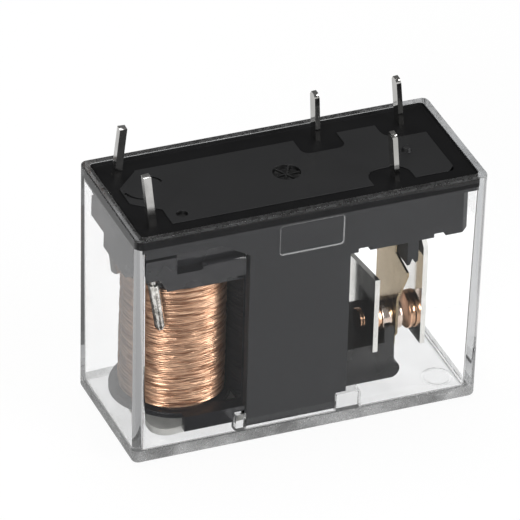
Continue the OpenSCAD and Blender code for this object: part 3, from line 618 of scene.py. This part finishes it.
# solids that only get softer edges: node, edge width, finish, body
SOFT = (
    ("base", 0.06, black_base, "frame"),
    ("bobbin", 0.07, black_bobbin, "frame"),
    ("coil_pin_front", 0.08, pin_tin, "frame"),
    ("coil_pin_back", 0.08, pin_tin, "frame"),
    ("coil_lead_front", 0.08, solder, "frame"),
    ("coil_lead_back", 0.08, solder, "frame"),
    ("nc_terminal", 0.06, strip_tin, "frame"),
    ("com_terminal", 0.06, strip_tin, "frame"),
    ("no_terminal", 0.06, strip_tin, "frame"),
    ("nc_contact", 0.12, contact_copper, "frame"),
    ("com_contact", 0.12, contact_silver, "moving_leaf"),
    ("no_contact", 0.2, contact_copper, "frame"),
    ("leaf_rivet_front", 0.06, strip_tin, "frame"),
    ("leaf_rivet_back", 0.06, strip_tin, "frame"),
)
for node, width, finish, body in SOFT:
    finished(soft_copy(node, width), finish, body, node)
finished(relieved_card(), black_card, "card", "card")
bending_leaf()

# solids shown as they are
for node, finish in (
        ("core", iron), ("yoke", iron), ("armature", matt_plate), ("hinge_spring", iron)):
    paint(nodes[node].data, finish)


# ---- studio, in metres

FLOOR_SIZE, FLOOR_Z, FLOOR_WHITE, FLOOR_ROUGH = 6, -0.00003, 0.9, 0.9
# glow of the floor, and what is taken off or added for rays that the relay has turned
GLOW, GLOW_SHARE, WALL_SHARE = 1.03, 0.9, 0.1
WALL_DROP, FRONT_DROP, COIL_DROP, CORNER_DROP = 0.44, 0.41, 1.2, 0.165
INSIDE_LIFT, STRAIGHT_LIFT, RIGHT_LIFT = 0.2, 0.3, 0.475
# parts of the floor, and the least length of the rays that the pins send there
FRONT_Y, FAR_Y, LEFT_X, COIL_SIDE_X, PIN_RAY = -0.008, -0.031, -0.0145, -0.005, 0.037
SKY, SKY_THROUGH = 0.12, 0.15
# name, place, aim, size, power
LAMPS = (
    ("overhead_box", (0.0, 0.2, 0.65), (0, 0, 0), 0.45, 2.0),
    ("left_box", (-0.455, -0.523, 0.25), (0, 0, 0.01), 0.28, 3.2),
    ("right_box", (0.62, -0.52, 0.2), (0, 0, 0.01), 0.46, 5.8),
)
EYE_PLACE = (-0.166242, -0.389934, 0.283107)
EYE_TURN = (57.3829, -1.5231, -21.8938)
EYE_LENS, EYE_SENSOR = 450, 36


def floor_glow(tree):
    """Share and strength of the floor's glow, by the way a ray has come."""
    def sum_of(operation):
        return lambda first, second: math_node(tree, operation, first, second)

    plus, minus, times = sum_of("ADD"), sum_of("SUBTRACT"), sum_of("MULTIPLY")
    either, above, below = sum_of("MAXIMUM"), sum_of("GREATER_THAN"), sum_of("LESS_THAN")
    path = tree.nodes.new("ShaderNodeLightPath").outputs
    place = placed(tree)
    seen = either(path["Is Camera Ray"], path["Is Transmission Ray"])
    seen = either(seen, path["Is Glossy Ray"])
    glossy = above(path["Glossy Depth"], 0.5)
    twice = above(path["Glossy Depth"], 1.5)
    inside = above(path["Transmission Depth"], 2.5)
    outside = below(path["Transmission Depth"], 3.5)
    in_front = below(place["Y"], FRONT_Y)

    # painted reflection: the floor glows less for rays that the walls mirror, as if the room were
    # darker, darkest in front, except where the pins mirror it
    walls = times(glossy, outside)
    from_pins = times(below(place["Y"], FAR_Y), above(path["Ray Length"], PIN_RAY))
    dark = times(in_front, minus(1.0, from_pins))
    level = minus(GLOW, times(walls, plus(WALL_DROP, times(dark, FRONT_DROP))))
    level = plus(level, times(inside, INSIDE_LIFT))
    # painted reflection: for rays mirrored inside the cover, the floor left of the coil's side
    # almost stops glowing, so the coil and what stands beside it mirror almost no floor
    left_front = times(in_front, below(place["X"], LEFT_X))
    by_coil = minus(below(place["X"], COIL_SIDE_X), left_front)
    by_coil = times(by_coil, times(glossy, inside))
    level = minus(level, times(by_coil, COIL_DROP))
    # painted light: the floor seen straight through the cover glows more, so it is paler
    straight = times(inside, minus(1.0, glossy))
    level = plus(level, times(straight, STRAIGHT_LIFT))
    # painted reflection: for rays turned twice in the cover's upright corners the floor glows less
    # at the left and more at the right, so the corners are darker at the left, paler at the right
    corner = minus(times(above(place["X"], 0.0), RIGHT_LIFT), CORNER_DROP)
    level = plus(level, times(times(twice, outside), corner))

    share = times(seen, plus(times(walls, WALL_SHARE), GLOW_SHARE))
    return share, level


def studio_floor():
    clear_selection()
    bpy.ops.mesh.primitive_plane_add(size=FLOOR_SIZE, location=(0, 0, FLOOR_Z))
    floor = bpy.context.object
    floor.name = "studio_floor"
    mat, tree, shader = material("white_floor")
    shader.inputs["Base Color"].default_value = (FLOOR_WHITE, FLOOR_WHITE, FLOOR_WHITE, 1)
    shader.inputs["Roughness"].default_value = FLOOR_ROUGH
    glow = tree.nodes.new("ShaderNodeEmission")
    share, level = floor_glow(tree)
    tree.links.new(level, glow.inputs["Strength"])
    mixed_surface(tree, share, shader, glow)
    floor.data.materials.append(mat)


def studio_world():
    world = bpy.data.worlds.new("studio_world")
    bpy.context.scene.world = world
    world.use_nodes = True
    tree = world.node_tree
    sky = tree.nodes["Background"]
    sky.inputs["Color"].default_value = (1, 1, 1, 1)
    path = tree.nodes.new("ShaderNodeLightPath").outputs
    through = math_node(tree, "MULTIPLY", path["Is Transmission Ray"], SKY_THROUGH)
    tree.links.new(math_node(tree, "ADD", through, SKY), sky.inputs["Strength"])


def lamps():
    for name, place, aim, size, power in LAMPS:
        bpy.ops.object.light_add(type="AREA", location=place)
        lamp = bpy.context.object
        lamp.name = name
        lamp.data.size = size
        lamp.data.energy = power
        lamp.rotation_euler = (Vector(aim) - Vector(place)).to_track_quat("-Z", "Y").to_euler()


def camera():
    bpy.ops.object.camera_add(location=EYE_PLACE)
    eye = bpy.context.object
    eye.rotation_euler = [math.radians(turn) for turn in EYE_TURN]
    eye.data.lens = EYE_LENS
    eye.data.sensor_width = EYE_SENSOR
    bpy.context.scene.camera = eye


studio_floor()
studio_world()
lamps()
camera()
bpy.context.scene.view_settings.view_transform = "Standard"
